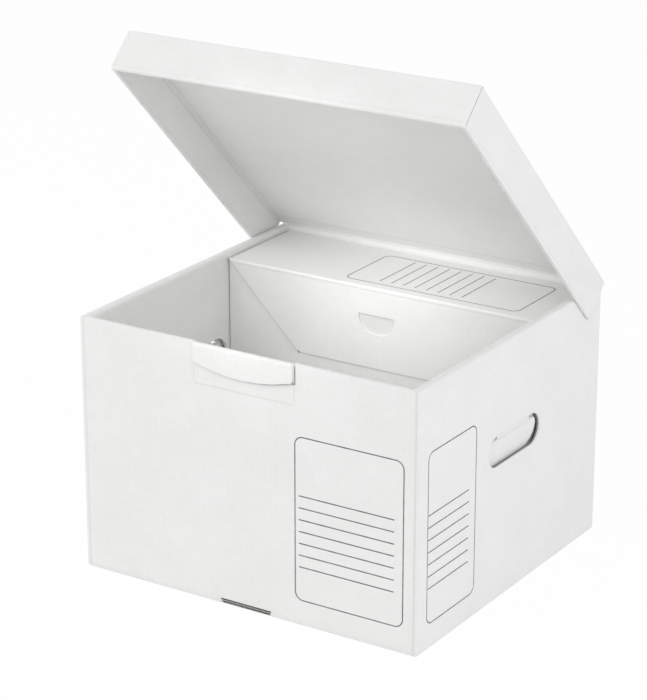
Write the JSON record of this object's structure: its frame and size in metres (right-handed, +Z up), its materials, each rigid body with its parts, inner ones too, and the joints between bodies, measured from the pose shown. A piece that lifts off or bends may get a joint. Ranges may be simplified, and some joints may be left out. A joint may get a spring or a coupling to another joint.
{
  "type": "archive storage box",
  "caption": "Storage box of folded white corrugated card, with double side walls, hand holes, a lid hinged along the rear top edge and a closed file box standing inside.",
  "frame": {"origin": "centre of the storage box's base, on its underside", "axes": "+Z up, front wall towards -Y, lid hinged along X at the rear top edge, right-hand wall towards +X"},
  "size_m": [0.3574, 0.3283, 0.4815],
  "materials": {
    "box_card": "white-lined corrugated board, matte",
    "file_card": "white-lined fine corrugated board, matte"
  },
  "bodies": {
    "box": {"box_body": "box_card", "file_box": "file_card"},
    "lid": {"lid": "box_card"},
    "flap_right": {"hand_hole_flap_right": "box_card"},
    "flap_left": {"hand_hole_flap_left": "box_card"}
  },
  "joints": [
    {"name": "lid_hinge", "type": "hinge", "parent": "box", "child": "lid", "pos_m": [0, 0.1625, 0.2453], "axis": [-1, 0, 0], "range_deg": [-45, 180]},
    {"name": "hand_hole_right", "type": "hinge", "parent": "box", "child": "flap_right", "pos_m": [0.1735, 0.003, 0.1562], "axis": [0, 1, 0], "range_deg": [-10, 60]},
    {"name": "hand_hole_left", "type": "hinge", "parent": "box", "child": "flap_left", "pos_m": [-0.1735, 0.003, 0.1562], "axis": [0, -1, 0], "range_deg": [-10, 60]}
  ]
}
